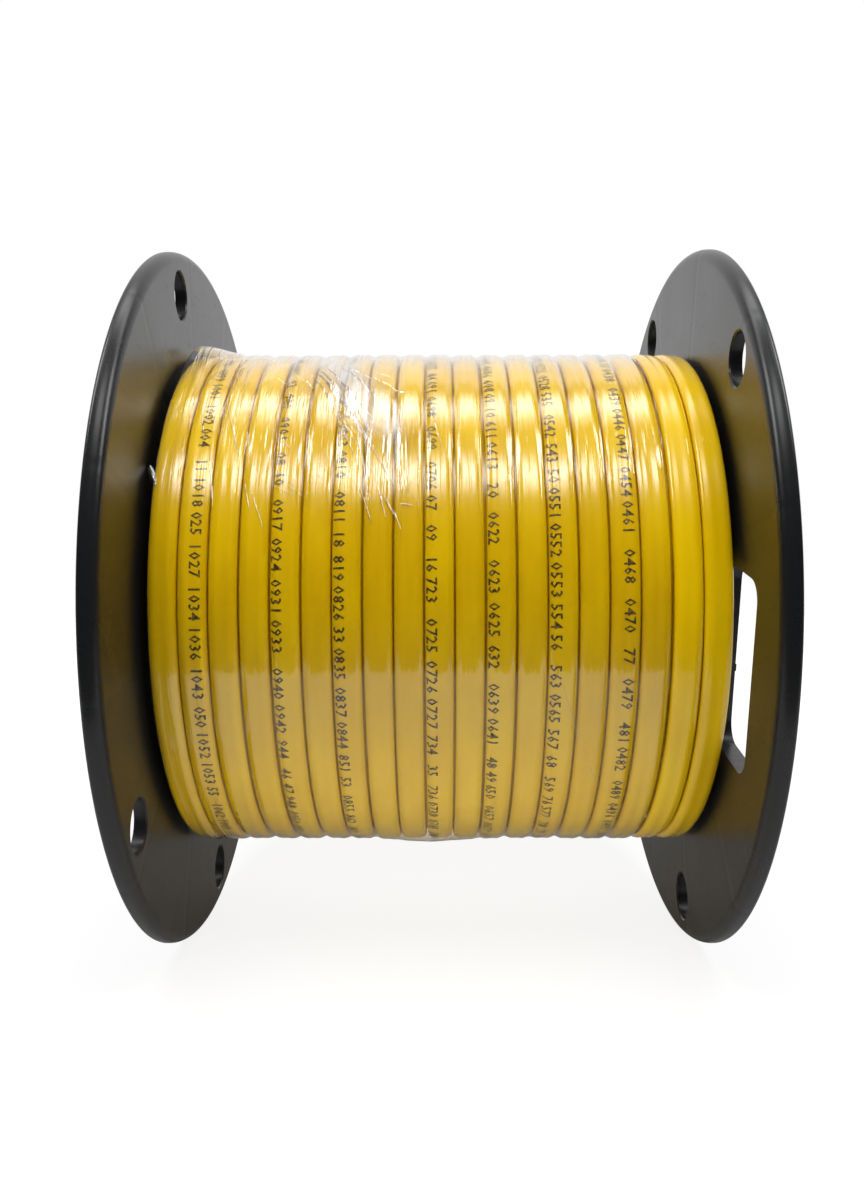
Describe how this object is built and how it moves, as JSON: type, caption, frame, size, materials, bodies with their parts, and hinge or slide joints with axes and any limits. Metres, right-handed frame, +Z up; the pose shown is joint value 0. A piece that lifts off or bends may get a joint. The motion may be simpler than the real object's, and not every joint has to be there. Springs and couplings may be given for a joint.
{
  "type": "wire spool",
  "caption": "Black moulded reel with two flat flanges and a hidden drum, wound with yellow flat building cable under clear stretch film.",
  "frame": {"origin": "centre of the arbor bore, half way between the flanges' outer faces", "axes": "+X along the reel's axis from the left flange to the right flange, +Z up, +Y away from the viewer"},
  "size_m": [0.23, 0.305, 0.305],
  "materials": {
    "reel_black": "satin injection-moulded plastic with moulding lines and light scuffs",
    "drum_black": "extruded plastic",
    "arbor_grey": "extruded plastic, polished by the rod",
    "zinc_plated_steel": "bright zinc plate",
    "yellow_jacket": "smooth glossy PVC",
    "clear_film": "clear stretch film with pull wrinkles",
    "black_insulation": "glossy nylon-coated PVC",
    "white_insulation": "glossy nylon-coated PVC",
    "bare_copper": "bright drawn copper",
    "kraft_paper": "brown twisted paper"
  },
  "bodies": {
    "root": {"left_flange": "reel_black", "right_flange": "reel_black", "drum_barrel": "drum_black", "arbor_tube": "arbor_grey", "tie_bolts": "zinc_plated_steel", "head_washers": "zinc_plated_steel", "nut_washers": "zinc_plated_steel", "tie_nuts": "zinc_plated_steel", "cable_inner_layers": "yellow_jacket", "cable_outer_layer": "yellow_jacket", "film_wrap": "clear_film", "outer_end_jacket": "yellow_jacket", "outer_end_black_wire": "black_insulation", "outer_end_white_wire": "white_insulation", "outer_end_copper_cores": "bare_copper", "outer_end_ground_wire": "bare_copper", "outer_end_paper": "kraft_paper", "start_end_jacket": "yellow_jacket", "start_end_black_wire": "black_insulation", "start_end_white_wire": "white_insulation", "start_end_copper_cores": "bare_copper", "start_end_ground_wire": "bare_copper", "start_end_paper": "kraft_paper"}
  },
  "joints": []
}
